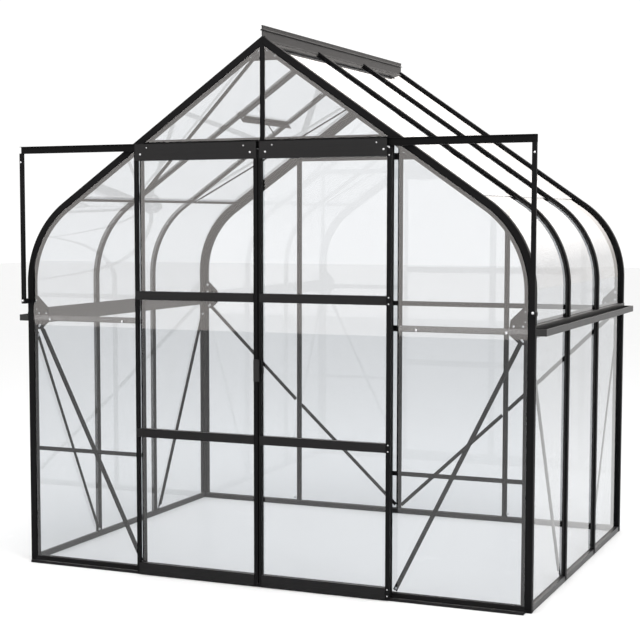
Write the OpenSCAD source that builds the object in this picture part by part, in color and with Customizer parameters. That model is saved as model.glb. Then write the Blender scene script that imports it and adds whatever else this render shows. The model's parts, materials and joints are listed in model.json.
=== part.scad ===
// Glass greenhouse with curved eaves, side gutters and two sliding front doors.
// Millimetres, +Z up, doors facing -Y. The origin is on the floor, below the middle of the outline.

/* [Frame] */
// Side wall glass bay, bar centre to bar centre
side_bay = 620; // [450:1:760]
// Gable wall glass bay, bar centre to bar centre
gable_bay = 620; // [450:1:760]
// Floor to the gutter's underside
eave_height = 1188; // [900:1:1450]
// Gutter's underside to the start of the curve
curve_start = 180; // [120:1:260]
// Outside radius of the curved bars
curve_radius = 479; // [320:1:600]
// Start of the curve to the ridge
roof_rise = 1132; // [900:1:1400]
// Bar line at a corner to the frame's outer face
corner_face = 18; // [15:0.5:24]

/* [Profiles] */
// Wall thickness of the extrusions
wall = 2; // [1.6:0.1:2.6]
// Gap left between pieces that are seated together
seat = 0.3; // [0.2:0.05:0.5]
// Width of a corner post across the gable
post_width = 32; // [26:0.5:40]
// Depth of a corner post along the side wall
post_depth = 28; // [26:0.5:36]
// Width of a bar's outer cap
cap_width = 28; // [22:0.5:36]
// Outer face of a side bar to the wall glass
cap_proud = 15; // [12:0.5:22]
// Width of a post's flange behind the glass
flange_reach = 18; // [14:0.5:24]
// Depth of the rib on the inside of a gable bar
rib_depth = 17; // [12:0.5:22]
// Width of the strip on a gable bar
strip_width = 27; // [20:0.5:34]
// Width of the strip on a door jamb
jamb_width = 23; // [19:0.5:28]

/* [Glass] */
// Thickness of a pane
glass = 3; // [2.5:0.1:4]
// Overlap of one pane on the next
lap = 22; // [12:0.5:30]
// End of the curve to the foot of the roof glass
roof_foot = 58; // [40:1:90]

/* [Sills and gutters] */
// Height of the floor sills
sill_height = 27; // [20:0.5:40]
// Height of the upstand that holds the bottom of the glass
upstand = 3; // [2:0.5:20]
// Width of the gutter beyond the posts
gutter_width = 49; // [38:0.5:70]
// Height of the gutter's outer wall
gutter_height = 30; // [24:0.5:44]
// Height of the eave ledge above the gutter's underside
ledge_height = 44; // [36:0.5:56]

/* [Ridge] */
// Height of the ridge fin above the bars
fin_height = 47; // [34:0.5:60]
// Thickness of the ridge fin
fin = 5; // [4:0.5:7]

/* [Doors] */
// Roof line at the jambs to the underside of the upper track
track_drop = 68; // [60:0.5:80]
// Height of the upper track
track_height = 34; // [28:0.5:42]
// Depth of the upper track
track_depth = 18; // [16:0.5:24]
// Width of a door's left stile
stile = 13; // [10:0.5:18]
// Width of a door's right stile
lock_stile = 20; // [16:0.5:26]
// Depth of a door stile
stile_depth = 26; // [20:0.5:32]
// Height of a door rail
door_rail = 40; // [32:0.5:50]
// Height of the lower door rail's middle, as a share of the door
low_rail = 0.335; // [0.28:0.005:0.4]
// Height of the upper door rail's middle, as a share of the door
high_rail = 0.663; // [0.6:0.001:0.72]
// Gap between a door and what it slides past
running = 5; // [5:0.5:7]
// Height of the handle
handle_height = 101; // [80:1:140]
// Height of the handle's lower end, as a share of the door
handle_share = 0.471; // [0.42:0.001:0.52]

/* [Roof vent] */
// Length of the vent down the slope
vent_length = 488; // [400:1:580]

/* [Hidden] */
$fn = 64;
bays = 3;                                            // side bays
half_width = 2 * gable_bay + corner_face;            // outer face of the side walls
depth = bays * side_bay + 2 * corner_face;           // front face to rear face
curve_z = eave_height + curve_start;
ridge_z = curve_z + roof_rise;
curve_x = half_width - curve_radius;                 // centre of the curve
arc = atan2(curve_x, roof_rise) + asin(curve_radius / norm([curve_x, roof_rise]));

// depths below the outer face, side walls and roof
pane = cap_proud;                                    // outer side of the wall glass
top_pane = pane - seat - glass;                      // outer side of the roof glass, one layer out
cap = top_pane - seat;                               // underside of a bar's cap
flange = pane + glass + seat;                        // outer side of the flange behind the glass
back = flange + wall + seat;                         // what is bolted to the flanges
brace = back + wall + seat;                          // braces lie on those
web = 1.5;                                           // half thickness of a bar's web
steps = 32;                                          // flats round the curve
brace_width = 20;
brace_fold = 9;

// depths behind the outer face, gable walls
g_top = 0.7;                                         // upper panes
g_low = g_top + glass + seat;                        // lower panes
g_flange = g_low + glass + seat;
g_back = g_flange + wall + seat;
g_gusset = g_back + wall + seat;
g_brace = g_gusset + wall + 0.5 + seat;

join_z = eave_height + gutter_height;                // posts end, gable bars begin
ledge_z = eave_height + ledge_height;                // curved panes and roof bars stand here
seam_z = eave_height + 28;                           // top of the lower gable panes
eave_band = 16;                                      // upstands above the ledge and below the gutter
post_flange = post_width + flange_reach;             // inner edge of the gable flange

track_z = ridge_z - gable_bay / tan(arc) - track_drop;
track_top = track_z + track_height;
header_top = track_top + 7;
header_tall = 40;
header_lip = 11;                                     // rises behind the panes above the header
door_back = 24;                                      // gable face to the back of the doors
door_front = door_back + stile_depth;                // gable face to the front of the doors
track_front = door_front + seat - running;           // gable face to the front of the upper track
jamb_x = gable_bay - 2.5;                            // middle of a jamb
jamb_depth = 21;
jamb_reach = 7.5;                                    // flange behind the side panes
door_edge = gable_bay + 13;
lip_height = 13;                                     // front lip of the bottom track
door_low = lip_height + running;
door_high = track_z - running;
door_tall = door_high - door_low;
door_in = running / 2;
door_wide = door_edge - door_in;
skin = 2.2;                                          // front plates of the door rails
skin_low = 4;                                        // they and the stiles hide the bottom track
grip_reach = door_front + 14;                        // gable face to the front of the handle
rear_reach = 2.6;                                    // rear strips stand out this far

y_shift = (grip_reach - depth - rear_reach) / 2;

BLACK = [0.13, 0.13, 0.14];
GLASS = [0.80, 0.88, 0.90, 0.35];
PLASTIC = [0.08, 0.08, 0.08];

// ---- placing ----

// the front gable's outer face is at y = 0 for everything below
module placed(tint) color(tint) translate([0, y_shift, 0]) children();
module both() { children(); mirror([1, 0, 0]) children(); }
module rear() translate([0, depth, 0]) mirror([0, 1, 0]) children();
module both_ends() { children(); rear() children(); }
module bar_lines() for (i = [1 : bays - 1]) translate([0, corner_face + i * side_bay, 0]) children();

// x and y across the gable wall, z inwards from this far behind its face
module on_gable(at) translate([0, at, 0]) rotate([90, 0, 0]) mirror([0, 0, 1]) children();
// x along the side wall, y up, z inwards from this far below its face
module on_wall(at) translate([half_width - at, 0, 0]) rotate([90, 0, 90]) mirror([0, 0, 1]) children();
// x along the roof, y up the slope from the end of the curve, z inwards from this far below its face
module on_roof(at) translate([curve_x, 0, curve_z]) rotate([0, -arc, 0])
    translate([curve_radius - at, 0, 0]) rotate([90, 0, 90]) mirror([0, 0, 1]) children();
module gable_plate(at, thick) on_gable(at) linear_extrude(thick) children();
module side_plate(at, thick) on_wall(at) linear_extrude(thick) children();
module slope_plate(at, thick) on_roof(at) linear_extrude(thick) children();
module along_y(from, to) translate([0, to, 0]) rotate([90, 0, 0]) linear_extrude(to - from) children();

// ---- roof line ----

// x at this distance up the slope, and the reverse, for the layer at this depth
function slope_x(up, deep) = curve_x + (curve_radius - deep) * cos(arc) - up * sin(arc);
function slope_at(x, deep) = slope_x(0, deep) / sin(arc) - x / sin(arc);
function apex(deep) = ridge_z - deep / sin(arc);
function roof_z(x, deep) = apex(deep) - x / tan(arc);
function backwards(list) = [for (i = [len(list) - 1 : -1 : 0]) list[i]];
// up the wall from z = low, round the curve and up the slope to x = end
function spine(deep, low, end) = concat([[half_width - deep, low]],
    [for (i = [0 : steps]) [curve_x + (curve_radius - deep) * cos(i * arc / steps),
        curve_z + (curve_radius - deep) * sin(i * arc / steps)]],
    [[end, roof_z(end, deep)]]);
// the layer between two depths, from y1 to y2
module band(deep1, deep2, y1, y2, low, end) along_y(y1, y2)
    polygon(concat(spine(deep1, low, end), backwards(spine(deep2, low, end))));
// everything inside the roof line, this far below it
module outline(deep) {
    side = spine(deep, 0, 0);
    polygon(concat(side, [for (i = [len(side) - 2 : -1 : 0]) [-side[i][0], side[i][1]]]));
}
module inside_roof(deep) intersection() {
    children();
    gable_plate(-200, 400) outline(deep);
}

// ---- profiles ----

// x is 0 at the outer face and negative inwards
module at(x, y, w, h) translate([x, y]) square([w, h]);
module box(x, y, w, h) difference() {
    at(x, y, w, h);
    at(x + wall, y + wall, w - 2 * wall, h - 2 * wall);
}
module post_box() box(-post_width, 0, post_width, post_depth);
module post_gable_flange() at(-post_flange, g_flange, flange_reach + wall / 2, wall);
module post_side_flange() at(-flange - wall, post_depth - wall / 2, wall, flange_reach + wall / 2);

module bar_cap() box(-cap, -cap_width / 2, cap, cap_width);
module bar_flange() {
    at(-flange - wall, -web, flange + wall - cap + wall / 2, 2 * web);
    at(-flange - wall, -cap_width / 2, wall, cap_width);
}

// flat strip from p to q with one edge folded inwards
module brace_strip(p, q) translate(p) rotate(atan2(q[1] - p[1], q[0] - p[0])) {
    long = norm(q - p);
    translate([-10, -brace_width / 2, 0]) cube([long + 20, brace_width, wall]);
    translate([25, brace_width / 2 - wall, 0]) cube([long - 50, wall, brace_fold]);
}

// ---- sills and posts ----

module gable_sill() {
    difference() {
        translate([seat + post_width - half_width, 0, 0])
            cube([2 * (half_width - post_width - seat), post_depth, sill_height]);
        translate([-half_width, wall, -1])
            cube([2 * half_width, post_depth - 2 * wall, sill_height - wall + 1]);
    }
}
module sill_upstand(from, to) both() translate([from, g_back, sill_height - 1])
    cube([to - from, wall, upstand + 1]);

module front_sill() placed(BLACK) {
    gable_sill();
    sill_upstand(jamb_x + web + seat, half_width - post_width - seat);
}

module rear_sill() placed(BLACK) rear() {
    gable_sill();
    sill_upstand(0, half_width - post_width - seat);
}

module side_sills() placed(BLACK) both() along_y(post_depth + seat, depth - post_depth - seat)
    translate([half_width, 0]) {
        out = -wall - seat;
        at(out - wall, 0, wall, sill_height);
        at(-back - wall, sill_height - wall, back + out + wall, wall);
        at(-back - wall, 0, wall, sill_height + upstand);
    }

module bottom_track() placed(BLACK) rotate([90, 0, 90]) translate([0, 0, -half_width + 25])
    linear_extrude(2 * half_width - 50) {
        front = running + wall - door_front;
        at(front, 0, -seat - front, wall);
        at(-seat - wall, 0, wall, lip_height);
        box(front, 0, 16, lip_height);
    }

module corner_posts() placed(BLACK) both() both_ends() translate([half_width, 0, 0]) {
    low = sill_height + seat;
    linear_extrude(join_z) post_box();
    translate([0, 0, low]) linear_extrude(join_z - low) post_gable_flange();
    translate([0, 0, low]) linear_extrude(eave_height - eave_band - seat - low) post_side_flange();
}

module wall_bars() placed(BLACK) both() bar_lines() translate([half_width, 0, 0]) {
    low = sill_height + seat;
    high = eave_height - seat;
    translate([0, 0, low]) linear_extrude(high - low) bar_cap();
    translate([0, 0, low]) linear_extrude(high - low) bar_flange();
    translate([0, 0, 5]) linear_extrude(low - 4) at(-wall, -cap_width / 2, wall, cap_width);
}

// ---- gutters ----

module gutters() placed(BLACK) both() {
    inner = seat + wall;
    along_y(post_depth + seat, depth - post_depth - seat) translate([half_width, eave_height]) {
        box(-back - wall, 0, back + wall + inner, ledge_height);
        at(-back - wall, -eave_band, wall, eave_band + 1);
        at(-back - wall, ledge_height - 1, wall, eave_band + 1);
    }
    along_y(0, depth) translate([half_width, eave_height]) {
        at(seat, 0, wall, ledge_height);
        at(seat, 0, gutter_width, wall);
        at(seat + gutter_width - wall, 0, wall, gutter_height);
        at(seat + gutter_width - 5, gutter_height - wall, 5, wall);
    }
    both_ends() along_y(0, wall) translate([half_width, eave_height])
        at(seat, 0, gutter_width, gutter_height);
}

// ---- bars of the gables and the roof ----

module gable_bar() {
    low = join_z + seat;
    difference() {
        band(0, post_width, 0, post_depth, low, seat / 2);
        band(wall, post_width - wall, wall, post_depth - wall, low - 1, 0);
    }
    band(post_width - wall / 2, post_flange, g_flange, g_flange + wall, low, seat / 2);
    band(flange, flange + wall, post_depth - wall / 2, post_depth + flange_reach,
        ledge_z + eave_band + seat, fin + seat);
}
module front_gable_bars() placed(BLACK) both() gable_bar();
module rear_gable_bars() placed(BLACK) rear() both() gable_bar();

lip_x = fin / 2 + 13.5;                              // outer edge of the ridge's lip over the glass
lug_x = fin / 2 + 31.5;                              // outer edge of the ridge's flange under the bars
module roof_bars() placed(BLACK) both() bar_lines() {
    low = ledge_z + seat;
    half = cap_width / 2;
    difference() {
        band(0, cap, -half, half, low, lip_x + seat);
        band(wall, cap - wall, wall - half, half - wall, low - 1, lip_x);
    }
    band(cap - wall / 2, flange + wall / 2, -web, web, low, lip_x + seat);
    band(flange, flange + wall, -half, half, low, fin + seat);
}

function sloped(x1, x2, deep, thick) = [[x1, roof_z(x1, deep)], [x2, roof_z(x2, deep)],
    [x2, roof_z(x2, deep + thick)], [x1, roof_z(x1, deep + thick)]];

module ridge() placed(BLACK) {
    top = ridge_z + fin_height;
    along_y(0, depth - 16) {
        at(-fin / 2, ridge_z + seat, fin, fin_height - seat);
        at(-fin / 2 - 1.5, top - 5, fin + 3, 5);
        for (s = [-1, 1]) scale([s, 1])
            polygon([[0, top - 14], [10, top - 20], [10, top - 23], [0, top - 19]]);
    }
    along_y(post_depth + seat, depth - post_depth - seat) {
        at(-fin / 2, roof_z(0, back) - 14, fin, apex(0) - roof_z(0, back) + 15);
        at(-fin, roof_z(fin, back), 2 * fin, roof_z(fin, cap - wall) + wall - roof_z(fin, back));
        for (s = [-1, 1]) scale([s, 1]) {
            polygon(sloped(0, lip_x, cap - wall, wall));
            polygon(sloped(0, lug_x, back, wall));
        }
    }
}

module purlins() placed(BLACK) both() {
    edge = web + seat;
    first = post_depth + seat;
    for (i = [0 : bays - 1]) {
        from = i == 0 ? first : corner_face + i * side_bay + edge;
        to = i == bays - 1 ? depth - first : corner_face + (i + 1) * side_bay - edge;
        slope_plate(back, wall) at(from, roof_foot - 4, to - from, 12);
        slope_plate(back, 8) at(from, roof_foot - 4, to - from, wall);
    }
}

// ---- gable walls ----

// profile across x and y of a gable bar: strip outside, flange and rib inside
module gable_strip(w) at(-w / 2, -rear_reach, w, g_top - seat + rear_reach);
module gable_flange(w) {
    at(-web, 0, 2 * web, g_flange + wall / 2);
    at(-w / 2, g_flange, w, wall);
}
module gable_rib() at(-web, g_flange + wall / 2, 2 * web, rib_depth);

module door_jambs() placed(BLACK) both() {
    inside_roof(post_width + seat) translate([jamb_x, 0, sill_height + seat]) linear_extrude(ridge_z)
        gable_strip(jamb_width);
    inside_roof(post_flange + seat) translate([jamb_x, 0, sill_height + seat]) linear_extrude(ridge_z) {
        at(-web, 0, 2 * web, jamb_depth);
        at(0, g_flange, jamb_reach, wall);
    }
}

module across_doors(half) translate([-half, 0, 0]) rotate([90, 0, 90]) linear_extrude(2 * half) children();
module door_header() placed(BLACK) {
    front = track_depth + seat - track_front;
    inside_roof(post_flange + seat) across_doors(jamb_x - web - seat) {
        box(g_top, header_top - header_tall, post_depth - g_top, header_tall);
        at(g_flange, header_top - 1, wall, header_lip + 1);
    }
    across_doors(jamb_x - jamb_width / 2 - seat) box(front, track_top - 26, g_top + wall - front, 20);
}

module front_centre_bar() placed(BLACK) {
    wide = strip_width * 7 / 9;
    low = header_top + header_lip + seat;
    inside_roof(post_width + seat) translate([0, 0, header_top + seat]) linear_extrude(ridge_z)
        gable_strip(wide);
    inside_roof(post_flange + seat) translate([0, 0, low]) linear_extrude(ridge_z) gable_flange(wide);
    translate([0, 0, low]) linear_extrude(apex(post_width) - 72 - low - seat) gable_rib();
}

rail_low = sill_height + (eave_height - sill_height) * 0.461;
module wall_rail(from, to, low, tall) inside_roof(post_width + seat)
    gable_plate(g_back, wall) at(from, low, to - from, tall);

module front_rails() placed(BLACK) both() {
    from = jamb_x + web + seat;
    to = half_width - post_width - seat;
    wall_rail(from, to, eave_height + 2, 27);
    wall_rail(from, to, rail_low - 10, 20);
}

module rear_bars() placed(BLACK) rear() for (x = [-gable_bay, 0, gable_bay]) translate([x, 0, 0]) {
    low = sill_height + seat;
    high = x == 0 ? apex(post_width) - 72 : roof_z(gable_bay + 5, post_flange);
    translate([-x, 0, 0]) inside_roof(post_width + seat) translate([x, 0, low]) linear_extrude(ridge_z)
        gable_strip(strip_width);
    translate([-x, 0, 0]) inside_roof(post_flange + seat) translate([x, 0, low]) linear_extrude(ridge_z)
        gable_flange(strip_width);
    translate([0, 0, low + upstand]) linear_extrude(high - low - upstand - 2 * seat) gable_rib();
}

module rear_rails() placed(BLACK) rear() both() {
    edge = web + seat;
    wall_rail(edge, gable_bay - edge, eave_height + 2, 27);
    wall_rail(gable_bay + edge, half_width - post_width - seat, eave_height + 2, 27);
    wall_rail(edge, gable_bay - edge, track_z + 16, 38);
}

// ---- plates and braces ----

module eave_gussets() placed(BLACK) both() both_ends() inside_roof(post_width + seat)
    gable_plate(g_gusset, wall + 0.5) translate([half_width, eave_height])
        polygon([[-50, 123], [-110, 65], [-117, 15], [-117, 2], [-68, -40], [-20, -40], [-20, 123]]);

module ridge_gussets() placed(BLACK) both_ends() inside_roof(post_width + seat)
    gable_plate(g_back, wall + 0.5) at(-300, apex(post_width) - 70, 600, 200);

module gable_brace(from, to, deep = g_brace) both() on_gable(deep) brace_strip(to, from);
brace_top = [half_width - 60, eave_height - 20];
module front_braces() placed(BLACK) gable_brace(brace_top, [jamb_x + 24, sill_height + 18]);
module rear_braces() placed(BLACK) rear() {
    reach = [24, sill_height + 26];
    middle = [gable_bay - web - 22, brace_top[1] - (brace_top[1] - reach[1]) * 0.52];
    outer = [gable_bay + web + 22, brace_top[1] - (brace_top[1] - reach[1]) * 0.48];
    gable_brace(brace_top, outer);
    gable_brace(middle, reach, g_back);
}

module wall_braces() placed(BLACK) both() both_ends() {
    from = [post_depth + 20, eave_height - 68];
    to = [corner_face + side_bay - 25, sill_height + 10];
    on_wall(brace) brace_strip(to, from);
}

module roof_braces() placed(BLACK) both() both_ends() {
    from = [post_depth + 24, slope_at(26, brace)];
    to = [corner_face + side_bay - 25, roof_foot + 16];
    on_roof(brace) brace_strip(from, to);
}

// ---- glass ----

edge_gap = 1;
module low_pane(from, to) gable_plate(g_low, glass)
    at(from, sill_height + seat, to - from, seam_z - sill_height - seat);
module high_pane(from, to, low) inside_roof(post_width + seat) gable_plate(g_top, glass)
    at(from, low, to - from, ridge_z);

module front_glass() placed(GLASS) both() {
    from = jamb_x + web + edge_gap;
    to = half_width - post_width - seat;
    low_pane(from, to);
    high_pane(from, to, seam_z - lap);
    high_pane(web + edge_gap, jamb_x - web - edge_gap, header_top + seat);
}

module rear_glass() placed(GLASS) rear() both() {
    from = web + edge_gap;
    to = half_width - post_width - seat;
    low_pane(from, gable_bay - from);
    low_pane(gable_bay + from, to);
    high_pane(from, gable_bay - from, seam_z - lap);
    high_pane(gable_bay + from, to, seam_z - lap);
}

function bay_from(i) = i == 0 ? post_depth + seat : corner_face + i * side_bay + web + edge_gap;
function bay_to(i) = i == bays - 1 ? depth - post_depth - seat
    : corner_face + (i + 1) * side_bay - web - edge_gap;

module wall_glass() placed(GLASS) both() for (i = [0 : bays - 1]) side_plate(pane, glass)
    at(bay_from(i), sill_height + seat, bay_to(i) - bay_from(i), eave_height - sill_height - 2 * seat);

module curved_glass() placed(GLASS) both() for (i = [0 : bays - 1]) along_y(bay_from(i), bay_to(i)) {
    out = spine(pane, ledge_z + seat, slope_x(roof_foot + lap, pane));
    in = spine(pane + glass, ledge_z + seat, slope_x(roof_foot + lap, pane + glass));
    polygon(concat(out, backwards(in)));
}

vent_top = slope_at(14, back - seat);
vent_low = vent_top - vent_length;
module roof_pane(i, high) slope_plate(top_pane, glass)
    at(bay_from(i), roof_foot, bay_to(i) - bay_from(i), high - roof_foot);
module roof_glass() placed(GLASS) {
    high = slope_at(fin + edge_gap, pane);
    for (i = [0 : bays - 1]) roof_pane(i, high);
    mirror([1, 0, 0]) for (i = [0, 2]) roof_pane(i, high);
    mirror([1, 0, 0]) roof_pane(1, vent_low - edge_gap);
}

// ---- roof vent, left slope, middle bay ----

vent_from = corner_face + side_bay + cap_width / 2 + 0.6;
vent_to = corner_face + 2 * side_bay - cap_width / 2 - 0.6;
vent_deep = back - seat;                             // rests on its sill and the ridge's flange
module vent() placed(BLACK) mirror([1, 0, 0]) children();

module vent_frame() vent() {
    wide = vent_to - vent_from;
    side = 20;
    for (y = [vent_from, vent_to - side]) slope_plate(vent_deep - wall, wall)
        at(y, vent_low, side, vent_length);
    for (y = [vent_from, vent_to - wall]) slope_plate(vent_deep - 15, 15)
        at(y, vent_low, wall, vent_length);
    inner = wide - 2 * (side + seat);
    for (z = [vent_low, vent_top - side]) slope_plate(vent_deep - wall, wall)
        at(vent_from + side + seat, z, inner, side);
    for (z = [vent_low, vent_top - wall]) slope_plate(vent_deep - 15, 15)
        at(vent_from + side + seat, z, inner, wall);
}

module vent_glass() placed(GLASS) mirror([1, 0, 0]) {
    edge = wall + edge_gap;
    slope_plate(vent_deep - wall - seat - glass, glass)
        at(vent_from + edge, vent_low + edge, vent_to - vent_from - 2 * edge, vent_length - 2 * edge);
}

module vent_sill() vent() {
    from = corner_face + side_bay + 5 + seat;
    to = corner_face + 2 * side_bay - 5 - seat;
    slope_plate(back, 27) at(from, vent_low, to - from, wall);
    slope_plate(back, wall) at(from, vent_low, to - from, 16);
}

module vent_stay() vent() slope_plate(back + wall + seat, 84)
    at(corner_face + 1.5 * side_bay - 6, vent_low + wall + seat, 12, 3);

// ---- door tracks ----

track_half = half_width + 8;
module upper_track() placed(BLACK) rotate([90, 0, 90]) translate([0, 0, -track_half])
    linear_extrude(2 * track_half) translate([-track_front, track_z]) {
        at(0, 0, track_depth, wall);
        at(0, track_height - wall, track_depth, wall);
        at(track_depth - wall, 0, wall, track_height);
    }

foot_z = eave_height + 98;
module track_supports() placed(BLACK) both() {
    translate([track_half - 20, -track_front, foot_z - 12]) cube([20, 14, track_z - seat - foot_z + 12]);
    gable_plate(-track_front + 13, track_front - 13 - seat) translate([track_half - 10, foot_z]) {
        circle(12);
        at(-12, -12, 24, 12);
    }
}

// ---- doors, drawn with the left edge at x = 0 ----

module at_left() translate([-door_edge, 0, 0]) children();
module at_right() translate([door_in, 0, 0]) children();
slot = glass + 2 * seat;                             // the panes sit at the back of the frame
tube = stile_depth - slot - wall;
bite = 8;                                            // panes enter the rails this far

// heights of the rails' middles, from the bottom up
rail_middles = [door_low + door_rail / 2, door_low + door_tall * low_rail,
    door_low + door_tall * high_rail, door_high - door_rail / 2];
module one_stile(w) {
    translate([0, 0, door_low]) linear_extrude(door_tall) {
        box(0, -door_front, w, tube);
        at(0, -door_front, wall, stile_depth);
        at(0, -door_back - wall, w, wall);
    }
    translate([0, 0, skin_low]) linear_extrude(door_low - skin_low + 1) at(0, -door_front, w, wall);
}
module door_stiles() {
    one_stile(stile);
    translate([door_wide, 0, 0]) mirror([1, 0, 0]) one_stile(lock_stile);
}

rail_from = stile + seat;
rail_to = door_wide - lock_stile - seat;
module one_rail(middle) translate([rail_from, 0, middle - door_rail / 2])
    rotate([90, 0, 90]) linear_extrude(rail_to - rail_from) {
        box(-door_front, 0, tube, door_rail);
        at(-door_back - wall, 0, wall, door_rail);
        at(tube - door_front - 1, (door_rail - wall) / 2, slot + 2, wall);
    }
module rail_skin(from, to, low, high) {
    translate([from, -door_front - seat - skin, low]) cube([to - from, skin, high - low]);
    bond = max(low, door_low);
    translate([rail_from, -door_front - seat - 1, bond])
        cube([rail_to - rail_from, seat + 2, min(high, bond + door_rail) - bond]);
}

// the front plate of the top rail ends at plate_to
module door_rails(plate_to) {
    from = stile - 8;
    for (middle = rail_middles) one_rail(middle);
    for (i = [1, 2])
        rail_skin(from, rail_to, rail_middles[i] - door_rail / 2, rail_middles[i] + door_rail / 2);
    rail_skin(rail_from, rail_to, skin_low, door_low + door_rail);
    rail_skin(from, plate_to, door_high - door_rail, track_top - 3);
}

module door_glass() {
    from = wall + edge_gap;
    reach = door_rail / 2 - bite;
    for (i = [0 : 2]) translate([from, -door_back - wall - seat - glass, rail_middles[i] + reach])
        cube([door_wide - 2 * from, glass, rail_middles[i + 1] - rail_middles[i] - 2 * reach]);
}

roller = track_height / 2 - wall - 2.5;
module door_rollers() for (x = [68, door_wide - 68])
    translate([x, -door_front, track_z + wall + 0.5 + roller]) rotate([-90, 0, 0]) {
        cylinder(r = 4, h = running + 4);
        translate([0, 0, running + 2]) cylinder(r = roller, h = 7);
        translate([0, 0, running]) cylinder(r = 7, h = 3);
    }

module left_door_stiles() placed(BLACK) at_left() door_stiles();
module left_door_rails() placed(BLACK) at_left() door_rails(door_wide - 5);
module left_door_glass() placed(GLASS) at_left() door_glass();
module left_door_rollers() placed(PLASTIC) at_left() door_rollers();
module right_door_stiles() placed(BLACK) at_right() door_stiles();
module right_door_rails() placed(BLACK) at_right() door_rails(rail_to);
module right_door_glass() placed(GLASS) at_right() door_glass();
module right_door_rollers() placed(PLASTIC) at_right() door_rollers();

handle_z = door_low + door_tall * handle_share;
module door_handle() placed(PLASTIC) {
    translate([-20, -door_front - seat - 6, handle_z]) cube([17, 6, handle_height]);
    translate([-18, -grip_reach, handle_z])
        cube([28, grip_reach - door_front - running - seat, handle_height]);
}

module door_catch() placed(PLASTIC) at_right()
    translate([stile + seat, seat - door_front + 5, handle_z + handle_height / 2 - 14]) cube([6, 12, 28]);

front_sill();
rear_sill();
side_sills();
bottom_track();
corner_posts();
wall_bars();
gutters();
front_gable_bars();
rear_gable_bars();
roof_bars();
ridge();
purlins();
door_jambs();
door_header();
front_centre_bar();
front_rails();
rear_bars();
rear_rails();
eave_gussets();
ridge_gussets();
front_braces();
rear_braces();
wall_braces();
roof_braces();
front_glass();
rear_glass();
wall_glass();
curved_glass();
roof_glass();
vent_frame();
vent_glass();
vent_sill();
vent_stay();
upper_track();
track_supports();
left_door_stiles();
left_door_rails();
left_door_glass();
left_door_rollers();
door_handle();
right_door_stiles();
right_door_rails();
right_door_glass();
right_door_rollers();
door_catch();
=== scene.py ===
import json
import math

import bmesh
import bpy
from mathutils import Matrix, Vector

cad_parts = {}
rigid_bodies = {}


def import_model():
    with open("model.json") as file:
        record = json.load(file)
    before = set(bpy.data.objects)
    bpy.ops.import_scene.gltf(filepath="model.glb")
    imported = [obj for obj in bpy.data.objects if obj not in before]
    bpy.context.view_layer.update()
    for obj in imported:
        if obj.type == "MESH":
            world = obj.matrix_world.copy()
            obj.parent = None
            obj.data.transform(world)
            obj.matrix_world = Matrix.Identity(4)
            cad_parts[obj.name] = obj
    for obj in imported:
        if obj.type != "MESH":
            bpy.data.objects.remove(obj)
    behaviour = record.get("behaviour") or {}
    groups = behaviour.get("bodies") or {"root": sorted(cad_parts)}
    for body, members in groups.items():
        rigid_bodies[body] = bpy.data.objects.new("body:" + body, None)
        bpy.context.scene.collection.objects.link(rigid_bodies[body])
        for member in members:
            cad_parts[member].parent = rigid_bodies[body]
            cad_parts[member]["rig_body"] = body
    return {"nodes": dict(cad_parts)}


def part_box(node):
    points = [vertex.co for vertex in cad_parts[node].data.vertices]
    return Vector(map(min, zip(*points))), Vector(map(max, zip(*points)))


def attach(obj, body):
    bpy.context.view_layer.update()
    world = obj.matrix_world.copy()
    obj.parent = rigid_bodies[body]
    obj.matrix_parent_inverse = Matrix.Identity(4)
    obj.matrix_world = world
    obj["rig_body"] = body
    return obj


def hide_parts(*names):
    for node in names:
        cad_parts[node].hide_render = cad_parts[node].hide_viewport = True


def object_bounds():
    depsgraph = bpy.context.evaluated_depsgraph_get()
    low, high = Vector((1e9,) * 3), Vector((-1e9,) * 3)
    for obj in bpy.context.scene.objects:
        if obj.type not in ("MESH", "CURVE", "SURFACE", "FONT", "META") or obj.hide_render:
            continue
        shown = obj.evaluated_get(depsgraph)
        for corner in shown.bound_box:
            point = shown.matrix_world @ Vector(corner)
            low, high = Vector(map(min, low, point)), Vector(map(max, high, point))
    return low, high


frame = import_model()
cadLow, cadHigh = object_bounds()
nodes = frame["nodes"]
mm = 0.001
print("frame loaded:", len(nodes), "nodes")


def paint(code):
    channels = [int(code[i:i + 2], 16) / 255 for i in (1, 3, 5)]
    return (*[c / 12.92 if c <= 0.04045 else ((c + 0.055) / 1.055) ** 2.4 for c in channels], 1.0)


def addNode(tree, kind, sockets=None, **settings):
    made = tree.nodes.new(kind)
    for name, value in settings.items():
        setattr(made, name, value)
    for name, value in (sockets or {}).items():
        if isinstance(value, bpy.types.NodeSocket):
            tree.links.new(value, made.inputs[name])
        else:
            made.inputs[name].default_value = value
    return made


def newMaterial(name):
    made = bpy.data.materials.new(name)
    made.use_nodes = True
    made.node_tree.nodes.clear()
    return made, made.node_tree


# the camera, with its place in metres
cameraSettings = {
    "place": (2.838, -7.1846, 1.6842),
    "tilt": 85.29, "turn": 24.60, "roll": -0.114,  # degrees
    "lens": 85.3, "sensor": 36,                    # mm
    "shiftX": 0.0995, "shiftY": 0.0366,
    "farthest": 200,                               # metres
}
lens = bpy.data.cameras.new("camera")
lens.lens = cameraSettings["lens"]
lens.sensor_width = cameraSettings["sensor"]
lens.shift_x = cameraSettings["shiftX"]
lens.shift_y = cameraSettings["shiftY"]
lens.clip_end = cameraSettings["farthest"]
camera = bpy.data.objects.new("camera", lens)
camera.matrix_world = (
    Matrix.Translation(cameraSettings["place"])
    @ Matrix.Rotation(math.radians(cameraSettings["turn"]), 4, "Z")
    @ Matrix.Rotation(math.radians(cameraSettings["tilt"]), 4, "X")
    @ Matrix.Rotation(math.radians(cameraSettings["roll"]), 4, "Z")
)
bpy.context.collection.objects.link(camera)
bpy.context.scene.camera = camera

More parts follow.
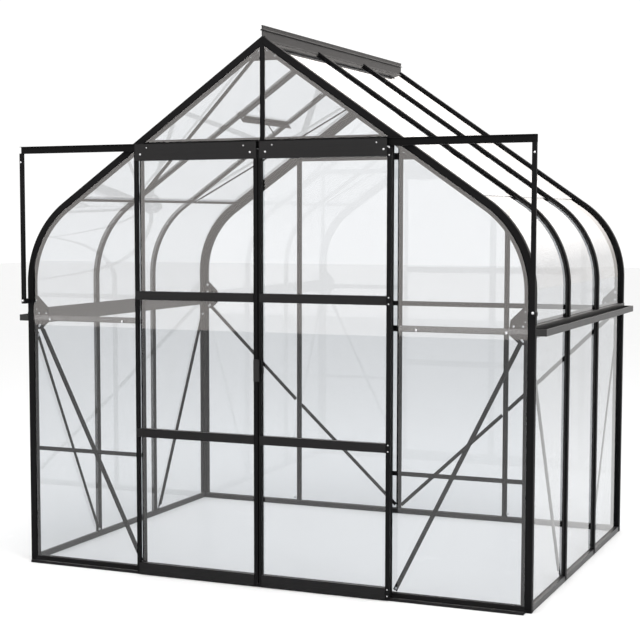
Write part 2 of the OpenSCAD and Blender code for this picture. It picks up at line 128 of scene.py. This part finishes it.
# a pale studio: a plain backdrop, soft light all round and a bright wall in front of the doors
studio = {
    "backdrop": "#FFFFFF", "backdropStrength": 1.06,
    "low": 1.12, "high": 1.26,         # light from the horizon and from above
    "left": 0.8, "right": 1.2,         # share of it from each side
    "wall": "#FFFAF6", "front": 3.0,   # warm bright wall facing the doors, which the panes mirror
    "frontFade": (-0.1, -0.3),         # where it begins and is full, by the direction's Y
    "ceiling": 1.6,                    # added to what the roof panes mirror
    "ceilingFade": (0.08, 0.3),        # where it begins and is full, by the direction's Z
    "panesDeep": 40,                   # pane faces that a ray may cross
}
bpy.context.scene.view_settings.view_transform = "Standard"
bpy.context.scene.cycles.transparent_max_bounces = studio["panesDeep"]
world = bpy.data.worlds.new("paleStudio")
world.use_nodes = True
bpy.context.scene.world = world
tree = world.node_tree
tree.nodes.clear()
direction = addNode(tree, "ShaderNodeTexCoord").outputs["Generated"]
axes = addNode(tree, "ShaderNodeSeparateXYZ", {0: direction})
upward = addNode(tree, "ShaderNodeMapRange", {
    "Value": axes.outputs["Z"], "From Min": 0.0, "From Max": 1.0,
    "To Min": studio["low"], "To Max": studio["high"]})
sideways = addNode(tree, "ShaderNodeMapRange", {
    "Value": axes.outputs["X"], "From Min": -1.0, "From Max": 1.0,
    "To Min": studio["left"], "To Max": studio["right"]})
level = addNode(tree, "ShaderNodeMath", {
    0: upward.outputs[0], 1: sideways.outputs[0]}, operation="MULTIPLY")
facing = addNode(tree, "ShaderNodeMapRange", {
    "Value": axes.outputs["Y"], "To Min": 1.0, "To Max": studio["front"],
    "From Min": studio["frontFade"][0], "From Max": studio["frontFade"][1]})
over = addNode(tree, "ShaderNodeMapRange", {
    "Value": axes.outputs["Z"], "To Max": studio["ceiling"],
    "From Min": studio["ceilingFade"][0], "From Max": studio["ceilingFade"][1]})
around = addNode(tree, "ShaderNodeMath", {0: facing.outputs[0], 1: over.outputs[0]}, operation="ADD")
softLight = addNode(tree, "ShaderNodeBackground", {"Strength": level.outputs[0]})
surroundings = addNode(tree, "ShaderNodeBackground", {
    "Color": paint(studio["wall"]), "Strength": around.outputs[0]})
backdrop = addNode(tree, "ShaderNodeBackground", {
    "Color": paint(studio["backdrop"]), "Strength": studio["backdropStrength"]})
path = addNode(tree, "ShaderNodeLightPath")
light = addNode(tree, "ShaderNodeMixShader", {
    0: path.outputs["Is Glossy Ray"], 1: softLight.outputs[0], 2: surroundings.outputs[0]})
light = addNode(tree, "ShaderNodeMixShader", {
    0: path.outputs["Is Camera Ray"], 1: light.outputs[0], 2: backdrop.outputs[0]})
addNode(tree, "ShaderNodeOutputWorld", {"Surface": light.outputs[0]})

# a large softbox beside the camera and one overhead: size, place, aim, watts
softboxes = {
    "keySoftbox": (3.5, (6.5, -4.0, 3.8), (0, 0, 1.2), 130),
    "overheadSoftbox": (5.0, (0.5, -1.0, 6.5), (0, 0, 0), 170),
}
for name, (size, place, aim, watts) in softboxes.items():
    lamp = bpy.data.lights.new(name, "AREA")
    lamp.shape = "SQUARE"
    lamp.size = size
    lamp.energy = watts
    holder = bpy.data.objects.new(name, lamp)
    holder.matrix_world = Matrix.Translation(place) @ (
        Vector(aim) - Vector(place)).to_track_quat("-Z", "Y").to_matrix().to_4x4()
    holder.visible_camera = False
    holder.visible_glossy = False  # the panes would show them as streaks
    bpy.context.collection.objects.link(holder)

# satin white vinyl: smooth and pale, with a weak broad reflection of what stands on it
floorSettings = {
    "size": 60, "front": 15.2,   # metres across, and how far it reaches in front of the doors
    "under": 0.2 * mm,           # gap below the sills
    "colour": "#F9F9F9", "roughness": (0.22, 0.30), "patch": 350 * mm, "gloss": 0.04,
}
floorFinish, tree = newMaterial("satinWhiteVinylFloor")
coords = addNode(tree, "ShaderNodeTexCoord").outputs["Object"]
patches = addNode(tree, "ShaderNodeTexNoise", {
    "Vector": coords, "Scale": 1 / floorSettings["patch"], "Detail": 3})
rough = addNode(tree, "ShaderNodeMapRange", {
    "Value": patches.outputs["Fac"],
    "To Min": floorSettings["roughness"][0], "To Max": floorSettings["roughness"][1]})
matt = addNode(tree, "ShaderNodeBsdfDiffuse", {"Color": paint(floorSettings["colour"])})
sheen = addNode(tree, "ShaderNodeBsdfGlossy", {"Roughness": rough.outputs[0]})
surface = addNode(tree, "ShaderNodeMixShader", {
    0: floorSettings["gloss"], 1: matt.outputs[0], 2: sheen.outputs[0]})
addNode(tree, "ShaderNodeOutputMaterial", {"Surface": surface.outputs[0]})
bm = bmesh.new()
bmesh.ops.create_grid(bm, x_segments=6, y_segments=6, size=floorSettings["size"] / 2)
middle = floorSettings["size"] / 2 - floorSettings["front"]
bmesh.ops.translate(bm, verts=bm.verts, vec=(0, middle, cadLow.z - floorSettings["under"]))
floorMesh = bpy.data.meshes.new("floor")
bm.to_mesh(floorMesh)
bm.free()
floorMesh.materials.append(floorFinish)
floor = bpy.data.objects.new("floor", floorMesh)
bpy.context.collection.objects.link(floor)
print("camera, light and floor made")

# Polyester powder coat on extruded aluminium, baked to three glosses: matt black for the bars and
# posts, eggshell for the door rails, end sills and bottom track, and satin for the ridge, gutters
# and side sills. The eggshell and satin copies are also painted lighter than the matt: painted
# light, for the lamps catching the tops of the rails, sills and track and the side faces of the
# ridge, gutters and side sills. A slight orange peel breaks the highlights: its 1.5 mm waves are
# drawn at 7 mm so that they show.
coats = {
    "mattBlackPowderCoat": {
        "deep": "#0B0B0C", "light": "#141415", "rough": (0.42, 0.52), "specular": 0.04},
    # painted light: a lighter base colour than the matt coat, for the lit tops of rails, sills and
    # track
    "eggshellBlackCoatPaintedLighter": {
        "deep": "#141415", "light": "#1B1B1C", "rough": (0.36, 0.46), "specular": 0.10},
    # painted light: lighter still, for the lit side faces of the ridge, gutters and side sills
    "satinBlackCoatPaintedLighter": {
        "deep": "#1C1C1D", "light": "#242425", "rough": (0.30, 0.40), "specular": 0.20},
}
orangePeel = {"ior": 1.5, "cloud": 90 * mm, "peel": 7 * mm, "bump": 0.10, "height": 0.4 * mm}


def powderCoat(name):
    coat = coats[name]
    made, tree = newMaterial(name)
    coords = addNode(tree, "ShaderNodeTexCoord").outputs["Object"]
    cloud = addNode(tree, "ShaderNodeTexNoise", {
        "Vector": coords, "Scale": 1 / orangePeel["cloud"], "Detail": 4})
    tone = addNode(tree, "ShaderNodeValToRGB", {"Fac": cloud.outputs["Fac"]})
    tone.color_ramp.elements[0].color = paint(coat["deep"])
    tone.color_ramp.elements[1].color = paint(coat["light"])
    rough = addNode(tree, "ShaderNodeMapRange", {
        "Value": cloud.outputs["Fac"], "To Min": coat["rough"][0], "To Max": coat["rough"][1]})
    peel = addNode(tree, "ShaderNodeTexNoise", {
        "Vector": coords, "Scale": 1 / orangePeel["peel"], "Detail": 2})
    bump = addNode(tree, "ShaderNodeBump", {
        "Strength": orangePeel["bump"], "Distance": orangePeel["height"],
        "Height": peel.outputs["Fac"]})
    surface = addNode(tree, "ShaderNodeBsdfPrincipled", {
        "Base Color": tone.outputs[0], "Roughness": rough.outputs[0], "IOR": orangePeel["ior"],
        "Specular IOR Level": coat["specular"], "Normal": bump.outputs[0]})
    addNode(tree, "ShaderNodeOutputMaterial", {"Surface": surface.outputs[0]})
    return made


mattCoat = powderCoat("mattBlackPowderCoat")
eggshellCoatPaintedLighter = powderCoat("eggshellBlackCoatPaintedLighter")
satinCoatPaintedLighter = powderCoat("satinBlackCoatPaintedLighter")

# Toughened float glass, 3 mm: clear with a faint cool tint, a mirror at low angles, and long
# roller waves from toughening that bend what it mirrors.
pane = {"tint": "#F4F5F6", "ior": 1.5, "roughness": 0.0,
        "wave": 260 * mm, "bump": 0.008, "height": 1 * mm}
floatGlass, tree = newMaterial("clearToughenedGlass")
coords = addNode(tree, "ShaderNodeTexCoord").outputs["Object"]
wave = addNode(tree, "ShaderNodeTexNoise", {"Vector": coords, "Scale": 1 / pane["wave"], "Detail": 0})
bump = addNode(tree, "ShaderNodeBump", {
    "Strength": pane["bump"], "Distance": pane["height"], "Height": wave.outputs["Fac"]})
mirror = addNode(tree, "ShaderNodeFresnel", {"IOR": pane["ior"]}).outputs[0]
doubled = addNode(tree, "ShaderNodeMath", {0: mirror, 1: 2.0}, operation="MULTIPLY")  # both sides
shared = addNode(tree, "ShaderNodeMath", {0: mirror, 1: 1.0}, operation="ADD")
paneMirror = addNode(tree, "ShaderNodeMath", {0: doubled.outputs[0], 1: shared.outputs[0]},
                     operation="DIVIDE", use_clamp=True)
inside = addNode(tree, "ShaderNodeNewGeometry").outputs["Backfacing"]
outside = addNode(tree, "ShaderNodeMath", {0: 1.0, 1: inside}, operation="SUBTRACT")
share = addNode(tree, "ShaderNodeMath", {0: paneMirror.outputs[0], 1: outside.outputs[0]},
                operation="MULTIPLY")
clear = addNode(tree, "ShaderNodeBsdfTransparent", {"Color": paint(pane["tint"])})
gloss = addNode(tree, "ShaderNodeBsdfGlossy", {
    "Roughness": pane["roughness"], "Normal": bump.outputs[0]})
surface = addNode(tree, "ShaderNodeMixShader", {
    0: share.outputs[0], 1: clear.outputs[0], 2: gloss.outputs[0]})
addNode(tree, "ShaderNodeOutputMaterial", {"Surface": surface.outputs[0]})

# Glass-filled nylon, moulded in black: a matte spark-eroded texture of about 1 mm, drawn at 3 mm.
nylonSettings = {"deep": "#151516", "light": "#1F1F20", "roughness": (0.48, 0.6), "ior": 1.53,
                 "specular": 0.14, "grain": 3 * mm, "bump": 0.15, "height": 0.3 * mm}
mouldedNylon, tree = newMaterial("mouldedBlackNylon")
coords = addNode(tree, "ShaderNodeTexCoord").outputs["Object"]
grain = addNode(tree, "ShaderNodeTexNoise", {
    "Vector": coords, "Scale": 1 / nylonSettings["grain"], "Detail": 3})
tone = addNode(tree, "ShaderNodeValToRGB", {"Fac": grain.outputs["Fac"]})
tone.color_ramp.elements[0].color = paint(nylonSettings["deep"])
tone.color_ramp.elements[1].color = paint(nylonSettings["light"])
rough = addNode(tree, "ShaderNodeMapRange", {
    "Value": grain.outputs["Fac"],
    "To Min": nylonSettings["roughness"][0], "To Max": nylonSettings["roughness"][1]})
bump = addNode(tree, "ShaderNodeBump", {
    "Strength": nylonSettings["bump"], "Distance": nylonSettings["height"],
    "Height": grain.outputs["Fac"]})
surface = addNode(tree, "ShaderNodeBsdfPrincipled", {
    "Base Color": tone.outputs[0], "Roughness": rough.outputs[0], "IOR": nylonSettings["ior"],
    "Specular IOR Level": nylonSettings["specular"], "Normal": bump.outputs[0]})
addNode(tree, "ShaderNodeOutputMaterial", {"Surface": surface.outputs[0]})

# EPDM glazing rubber, extruded: dead matt black, with a faint dusty mottle of about 1 mm, drawn
# at 4 mm.
rubberSettings = {"deep": "#0D0D0E", "light": "#161616", "roughness": 0.8, "ior": 1.5,
                  "grain": 4 * mm}
glazingRubber, tree = newMaterial("blackGlazingRubber")
coords = addNode(tree, "ShaderNodeTexCoord").outputs["Object"]
grain = addNode(tree, "ShaderNodeTexNoise", {
    "Vector": coords, "Scale": 1 / rubberSettings["grain"]})
tone = addNode(tree, "ShaderNodeValToRGB", {"Fac": grain.outputs["Fac"]})
tone.color_ramp.elements[0].color = paint(rubberSettings["deep"])
tone.color_ramp.elements[1].color = paint(rubberSettings["light"])
surface = addNode(tree, "ShaderNodeBsdfPrincipled", {
    "Base Color": tone.outputs[0], "Roughness": rubberSettings["roughness"],
    "IOR": rubberSettings["ior"]})
addNode(tree, "ShaderNodeOutputMaterial", {"Surface": surface.outputs[0]})

# Zinc-plated steel fasteners, barrel plated: bright grey with duller patches about 4 mm wide.
zincSettings = {"deep": "#8F9296", "light": "#C6C8CB", "roughness": (0.28, 0.45), "patch": 4 * mm}
zincPlate, tree = newMaterial("zincPlatedSteel")
coords = addNode(tree, "ShaderNodeTexCoord").outputs["Object"]
patches = addNode(tree, "ShaderNodeTexNoise", {"Vector": coords, "Scale": 1 / zincSettings["patch"]})
tone = addNode(tree, "ShaderNodeValToRGB", {"Fac": patches.outputs["Fac"]})
tone.color_ramp.elements[0].color = paint(zincSettings["deep"])
tone.color_ramp.elements[1].color = paint(zincSettings["light"])
rough = addNode(tree, "ShaderNodeMapRange", {
    "Value": patches.outputs["Fac"],
    "To Min": zincSettings["roughness"][0], "To Max": zincSettings["roughness"][1]})
surface = addNode(tree, "ShaderNodeBsdfPrincipled", {
    "Base Color": tone.outputs[0], "Roughness": rough.outputs[0], "Metallic": 1.0})
addNode(tree, "ShaderNodeOutputMaterial", {"Surface": surface.outputs[0]})
print("materials made")

# the CAD members with their edges broken, as extrusion dies and glass arrissing leave them
edges = {
    "frame": 0.5 * mm, "glass": 0.4 * mm, "plastic": 0.8 * mm,      # by slot
    "soft": {"door_handle": 2.5 * mm, "door_catch": 1.6 * mm},      # rounder, to suit a hand
    "segments": 2, "sharp": 25,         # edges that turn by more degrees than this are broken
    "weld": 0.02 * mm, "flat": 0.2,     # closer points are joined, and faces flatter in degrees
}
finishes = {"frame": mattCoat, "glass": floatGlass, "plastic": mouldedNylon}
# the eggshell and satin coats carry painted light: lighter base colours on the members that catch the
# lamps
satinPaintedLighterNodes = ("ridge", "gutters", "side_sills")
eggshellPaintedLighterNodes = ("left_door_rails", "right_door_rails", "front_sill", "rear_sill", "bottom_track")
coatOf = {**dict.fromkeys(satinPaintedLighterNodes, satinCoatPaintedLighter), **dict.fromkeys(eggshellPaintedLighterNodes, eggshellCoatPaintedLighter)}
slots = {name: "glass" if name.endswith("_glass") else "frame" for name in nodes}
for name in ("left_door_rollers", "right_door_rollers", "door_handle", "door_catch"):
    slots[name] = "plastic"


def showPiece(name, bm, body, material):
    mesh = bpy.data.meshes.new(name)
    bm.to_mesh(mesh)
    bm.free()
    mesh.shade_smooth()
    mesh.materials.append(material)
    piece = bpy.data.objects.new(name, mesh)
    bpy.context.collection.objects.link(piece)
    piece.modifiers.new("evenNormals", "WEIGHTED_NORMAL").keep_sharp = True
    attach(piece, body)
    return piece


def breakEdges(bm, width, segments=edges["segments"]):
    sharp = [e for e in bm.edges if len(e.link_faces) == 2
             and e.calc_face_angle() > math.radians(edges["sharp"])]
    bmesh.ops.bevel(bm, geom=sharp, affect="EDGES", offset=width, segments=segments,
                    profile=0.5, material=-1, clamp_overlap=True)


for name, node in sorted(nodes.items()):
    slot = slots[name]
    bm = bmesh.new()
    bm.from_mesh(node.data)
    bmesh.ops.remove_doubles(bm, verts=bm.verts, dist=edges["weld"])
    bmesh.ops.dissolve_limit(bm, angle_limit=math.radians(edges["flat"]), verts=bm.verts,
                             edges=bm.edges)
    breakEdges(bm, edges["soft"].get(name, edges[slot]))
    finish = coatOf.get(name, finishes[slot])
    piece = showPiece(f"{name}_finished", bm, node["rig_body"], finish)
    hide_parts(name)
print("members finished")

# where things are, from the frame
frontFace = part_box("front_sill")[0].y      # outer face of the front gable
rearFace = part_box("rear_sill")[1].y        # outer face of the rear gable
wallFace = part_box("corner_posts")[1].x     # outer face of the right wall
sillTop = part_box("side_sills")[1].z
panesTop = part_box("wall_glass")[1].z
ridgeLow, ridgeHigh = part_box("ridge")
roof = {
    "radius": 479 * mm, "curveStart": 180 * mm,     # the eave's curve, and how far above the wall panes
    "finHeight": 47 * mm,                           # from where the slopes meet to the fin's top
    "bars": 4, "pitch": 620 * mm, "corner": 18 * mm, "barHalf": 14 * mm,
    "capDepth": 11.4 * mm, "paneDepth": 15 * mm,    # below the bars' outer face
}
curveX = wallFace - roof["radius"]
curveZ = panesTop + roof["curveStart"]
ridgeZ = ridgeHigh.z - roof["finHeight"]
rise = ridgeZ - curveZ
arc = math.atan2(curveX, rise) + math.asin(roof["radius"] / math.hypot(curveX, rise))
barLines = [frontFace + roof["corner"] + i * roof["pitch"] for i in range(roof["bars"])]


def copyAcross(bm):
    # adds the same shape on the other side of the middle
    twin = bmesh.ops.duplicate(bm, geom=bm.verts[:] + bm.edges[:] + bm.faces[:])["geom"]
    bmesh.ops.scale(bm, vec=(-1, 1, 1), verts=[g for g in twin if isinstance(g, bmesh.types.BMVert)])
    bmesh.ops.recalc_face_normals(bm, faces=bm.faces)


def addBlock(bm, low, high):
    size = [b - a for a, b in zip(low, high)]
    middle = [(a + b) / 2 for a, b in zip(low, high)]
    stretch = Matrix.Diagonal((*size, 1))
    bmesh.ops.create_cube(bm, size=1, matrix=Matrix.Translation(middle) @ stretch)


def addRoofStrip(bm, y, width, outer, inner, low, upSlope, steps=20):
    # a strip between two depths below the outer face: up the wall, round the curve, up the slope
    section = ((outer, 0), (inner, 0), (inner, width), (outer, width))
    face = bm.faces.new([bm.verts.new((wallFace - deep, y + across, low)) for deep, across in section])
    made = bmesh.ops.extrude_face_region(bm, geom=[face])["geom"]
    top = [g for g in made if isinstance(g, bmesh.types.BMFace)]
    bmesh.ops.translate(bm, verts=top[0].verts, vec=(0, 0, curveZ - low))
    turned = bmesh.ops.spin(bm, geom=top, cent=(curveX, 0, curveZ), axis=(0, -1, 0), angle=arc,
                            steps=steps)
    last = [g for g in turned["geom_last"] if isinstance(g, bmesh.types.BMFace)]
    made = bmesh.ops.extrude_face_region(bm, geom=last)["geom"]
    tip = [g for g in made if isinstance(g, bmesh.types.BMFace)][0]
    bmesh.ops.translate(bm, verts=tip.verts,
                        vec=(-math.sin(arc) * upSlope, 0, math.cos(arc) * upSlope))
    bmesh.ops.delete(bm, geom=top + last, context="FACES_ONLY")


# rubber under the edges of the bars' caps, against the wall and curved panes
seal = {"width": 4 * mm, "inset": 0.6 * mm, "gap": 0.15 * mm, "foot": 1 * mm, "edge": 0.3 * mm,
        "slopeEnd": 76 * mm, "ledge": 45 * mm}
bm = bmesh.new()
outer = roof["capDepth"] + seal["gap"]
inner = roof["paneDepth"] - seal["gap"]
for line in barLines[1:-1]:
    for y in (line - roof["barHalf"] + seal["inset"],
              line + roof["barHalf"] - seal["inset"] - seal["width"]):
        addBlock(bm, (wallFace - inner, y, sillTop + seal["foot"]),
                 (wallFace - outer, y + seal["width"], panesTop))
        addRoofStrip(bm, y, seal["width"], outer, inner, panesTop + seal["ledge"], seal["slopeEnd"])
copyAcross(bm)
breakEdges(bm, seal["edge"], 1)
showPiece("bar_seals", bm, "house", glazingRubber)

# two beads rolled along each face of the ridge's fin
bead = {"below": (11 * mm, 27 * mm), "tall": 2.2 * mm, "proud": 0.9 * mm, "half": 2.5 * mm,
        "short": 1 * mm, "edge": 0.4 * mm}
bm = bmesh.new()
for below in bead["below"]:
    foot = ridgeHigh.z - below
    addBlock(bm, (-bead["half"] - bead["proud"], ridgeLow.y + bead["short"], foot),
             (bead["half"] + bead["proud"], ridgeHigh.y - bead["short"], foot + bead["tall"]))
breakEdges(bm, bead["edge"])
showPiece("ridge_beads", bm, "house", satinCoatPaintedLighter)

# zinc-plated bolts: a washer, a hexagon nut and the bolt's end, M6 at full size
bolt = {  # radius, height and sides of each layer
    "washer": (7.5 * mm, 1.4 * mm, 16), "nut": (5.8 * mm, 4.5 * mm, 6), "end": (2.9 * mm, 2.2 * mm, 8),
}
taper = 0.94  # of each layer's top, which rounds its edge a little
template = bmesh.new()
reach = 0
for radius, tall, sides in bolt.values():
    bmesh.ops.create_cone(template, cap_ends=True, segments=sides,
                          radius1=radius, radius2=radius * taper, depth=tall,
                          matrix=Matrix.Translation((0, 0, reach + tall / 2)))
    reach += tall
boltMesh = bpy.data.meshes.new("bolt")
template.to_mesh(boltMesh)
template.free()
forward, backward = Vector((0, -1, 0)), Vector((0, 1, 0))


def addBolts(name, body, spots):
    # spots: (place, the way the bolt points, size)
    bm = bmesh.new()
    for place, way, size in spots:
        turned = way.to_track_quat("Z", "Y").to_matrix().to_4x4()
        before = len(bm.verts)
        bm.from_mesh(boltMesh)
        bm.verts.ensure_lookup_table()
        fitted = Matrix.Translation(place) @ turned @ Matrix.Scale(size, 4)
        bmesh.ops.transform(bm, matrix=fitted, verts=bm.verts[before:])
    showPiece(name, bm, body, zincPlate)


def gableBolts(x, z, head, nut, headSize):
    # one bolt through each gable: its head this far behind the gable's face, its nut inside
    front = [Vector((x, frontFace + deep, z)) for deep in (head, nut)]
    rear = [Vector((x, rearFace - deep, z)) for deep in (head, nut)]
    return [(front[0], forward, headSize), (front[1], backward, 1.0),
            (rear[0], backward, headSize), (rear[1], forward, 1.0)]


gussetBolts = {
    "nut": 14.4 * mm,                                                  # behind the gable's face
    "plate": {"head": 11.9 * mm, "size": 0.6,                          # on the eave plates
              "places": ((1203, 1226), (1203, 1162), (1162, 1226))},   # x and z, mm
    "flange": {"head": 7.3 * mm, "size": 0.42,                         # on the bars
               "places": ((1213, 1289), (1213, 1246), (20, 2434), (59, 2407))},
}
spots = []
for row in ("plate", "flange"):
    kind = gussetBolts[row]
    for x, z in kind["places"]:
        for side in (-1, 1):
            spots += gableBolts(side * x * mm, z * mm, kind["head"], gussetBolts["nut"], kind["size"])
addBolts("gusset_bolts", "house", spots)

# brace bolts, one at each end of every brace
braceBolts = {
    "head": 14.7 * mm, "nut": 16.7 * mm, "headSize": 0.9,          # behind the gable's face
    "foot": (641.5 * mm, 45 * mm), "top": (1198 * mm, 1168 * mm),  # x and z on the gables
    "cornerAway": 30 * mm, "barAway": 25 * mm,                     # y, from the bars' middles
    "endAway": 18 * mm,                                            # z, from the braces' ends
    "thick": 2 * mm,                                               # of the braces
}
spots = []
for side in (-1, 1):
    for x, z in (braceBolts["foot"], braceBolts["top"]):
        spots += gableBolts(side * x, z, braceBolts["head"], braceBolts["nut"], braceBolts["headSize"])
bracesLow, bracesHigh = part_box("wall_braces")
upper = bracesHigh.z - braceBolts["endAway"]
lower = bracesLow.z + braceBolts["endAway"]
cornerAway = braceBolts["cornerAway"]
barAway = braceBolts["barAway"]
for side in (-1, 1):
    for y, z in ((barLines[0] + cornerAway, upper), (barLines[-1] - cornerAway, upper),
                 (barLines[1] - barAway, lower), (barLines[2] + barAway, lower)):
        place = Vector((side * (bracesHigh.x - braceBolts["thick"]), y, z))
        spots.append((place, Vector((-side, 0, 0)), 1.0))
addBolts("brace_bolts", "house", spots)


def onSlope(side, y, upSlope, deep):
    # a point this far up the slope from the end of the curve and this far below the outer face
    away = roof["radius"] - deep
    return Vector((side * (curveX + away * math.cos(arc) - upSlope * math.sin(arc)), y,
                   curveZ + away * math.sin(arc) + upSlope * math.cos(arc)))


# bolts on the inside of the roof: brace ends, purlin ends and the vent's sill
roofBolts = {
    "brace": {"deep": 24.9 * mm, "up": 74 * mm, "size": 0.9},
    "purlin": {"deep": 22.6 * mm, "up": 60 * mm, "apart": 8 * mm, "size": 0.5},
    "sill": {"face": 20.6 * mm, "down": 8 * mm, "end": 12 * mm, "size": 0.8},
}
braceEnd, purlinEnd, sillEnd = roofBolts["brace"], roofBolts["purlin"], roofBolts["sill"]
spots = []
for side in (-1, 1):
    inwards = Vector((-side * math.cos(arc), 0, -math.sin(arc)))
    for y in (barLines[1] - barAway, barLines[2] + barAway):
        place = onSlope(side, y, braceEnd["up"], braceEnd["deep"])
        spots.append((place, inwards, braceEnd["size"]))
    for line in barLines[1:-1]:
        for y in (line - purlinEnd["apart"], line + purlinEnd["apart"]):
            place = onSlope(side, y, purlinEnd["up"], purlinEnd["deep"])
            spots.append((place, inwards, purlinEnd["size"]))
sillLow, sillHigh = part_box("vent_sill")
sillUp = (sillHigh.z - onSlope(-1, 0, 0, sillEnd["face"]).z) / math.cos(arc) - sillEnd["down"]
for y in (sillLow.y + sillEnd["end"], sillHigh.y - sillEnd["end"]):
    place = onSlope(-1, y, sillUp, purlinEnd["deep"])
    spots.append((place, Vector((math.cos(arc), 0, -math.sin(arc))), sillEnd["size"]))
addBolts("roof_bolts", "house", spots)

# two bolts on each track support
trackBolts = {"across": 10 * mm, "foot": 14 * mm, "footSize": 0.8, "top": 40 * mm, "topSize": 0.6}
spots = []
supportLow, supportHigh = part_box("track_supports")
for side in (-1, 1):
    x = side * (supportHigh.x - trackBolts["across"])
    for z, size in ((supportLow.z + trackBolts["foot"], trackBolts["footSize"]),
                    (supportHigh.z - trackBolts["top"], trackBolts["topSize"])):
        spots.append((Vector((x, supportLow.y, z)), forward, size))
addBolts("track_bolts", "house", spots)

# bolts on the doors: hangers and pins through the top plates, and the right door's stile screws
hangers = {"up": 1981 * mm, "apart": 33 * mm, "size": 0.62,         # the bolts beside the wheels' pins
           "pinUp": 2011 * mm, "wheel": 12.5 * mm, "screwSize": 0.42}
stileScrews = {"inset": 10 * mm, "left": (),
               "right": (1988.6, 1955.7, 1340, 1312, 693, 665, 50.5, 21)}   # mm up
plateLines = {  # the plates' middles and the lines' distance from them, mm
    "middles": (1320, 679, 38, 1990), "away": 11, "tall": 1.6 * mm, "proud": 0.5 * mm,
    "sunk": 0.3 * mm, "leftEnd": 16 * mm, "rightEnd": 24 * mm, "edge": 0.25 * mm,
}
for side, body in (("left", "left_door"), ("right", "right_door")):
    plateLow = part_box(f"{side}_door_rails")[0]
    rollersLow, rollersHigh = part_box(f"{side}_door_rollers")
    stilesLow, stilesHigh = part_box(f"{side}_door_stiles")
    spots = []
    for x, outwards in ((rollersLow.x + hangers["wheel"], -1), (rollersHigh.x - hangers["wheel"], 1)):
        spots.append((Vector((x, plateLow.y, hangers["pinUp"])), forward, hangers["screwSize"]))
        x += outwards * hangers["apart"]
        spots.append((Vector((x, plateLow.y, hangers["up"])), forward, hangers["size"]))
    for z in stileScrews[side]:
        place = Vector((stilesHigh.x - stileScrews["inset"], stilesLow.y, z * mm))
        spots.append((place, forward, hangers["screwSize"]))
    addBolts(f"{side}_door_bolts", body, spots)

    # grooves rolled along the face of every plate, drawn as raised lines
    bm = bmesh.new()
    for middle in plateLines["middles"]:
        for away in (-plateLines["away"], plateLines["away"]):
            z = (middle + away) * mm
            addBlock(bm, (plateLow.x + plateLines["leftEnd"], plateLow.y - plateLines["proud"], z),
                     (stilesHigh.x - plateLines["rightEnd"], plateLow.y + plateLines["sunk"],
                      z + plateLines["tall"]))
    breakEdges(bm, plateLines["edge"], 1)
    showPiece(f"{side}_door_plate_lines", bm, body, eggshellCoatPaintedLighter)

# brush pile where the doors meet
brush = {"behind": 11 * mm, "deep": 2.2 * mm, "width": 4.2 * mm, "low": 60 * mm, "high": 1950 * mm,
         "edge": 0.5 * mm, "cuts": 120}
stilesLow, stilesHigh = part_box("left_door_stiles")
brushFront = stilesLow.y + brush["behind"]
bm = bmesh.new()
addBlock(bm, (stilesHigh.x, brushFront, brush["low"]),
         (stilesHigh.x + brush["width"], brushFront + brush["deep"], brush["high"]))
longest = max(e.calc_length() for e in bm.edges)
bmesh.ops.subdivide_edges(bm, edges=[e for e in bm.edges if e.calc_length() > longest / 2],
                          cuts=brush["cuts"])
breakEdges(bm, brush["edge"])
showPiece("door_brush", bm, "left_door", glazingRubber)

# spring clips at the pane laps of the gables
clip = {  # each has a leg on the pane's face and a lip turned in under the pane's edge
    "middles": (733 * mm, 1134 * mm), "low": 1192.6 * mm, "half": 4.5 * mm,
    "proud": 0.6 * mm, "edge": 0.2 * mm,
    "leg": {"back": 0.5 * mm, "tall": 12 * mm}, "lip": {"back": 3.9 * mm, "tall": 0.7 * mm},
}
bm = bmesh.new()
for x in clip["middles"]:
    for face, way in ((frontFace, 1), (rearFace, -1)):
        for limb in (clip["leg"], clip["lip"]):
            near, far = sorted((face - clip["proud"] * way, face + limb["back"] * way))
            addBlock(bm, (x - clip["half"], near, clip["low"]),
                     (x + clip["half"], far, clip["low"] + limb["tall"]))
copyAcross(bm)
breakEdges(bm, clip["edge"], 1)
showPiece("glazing_clips", bm, "house", zincPlate)
print("seals, beads, bolts, brush and clips made")
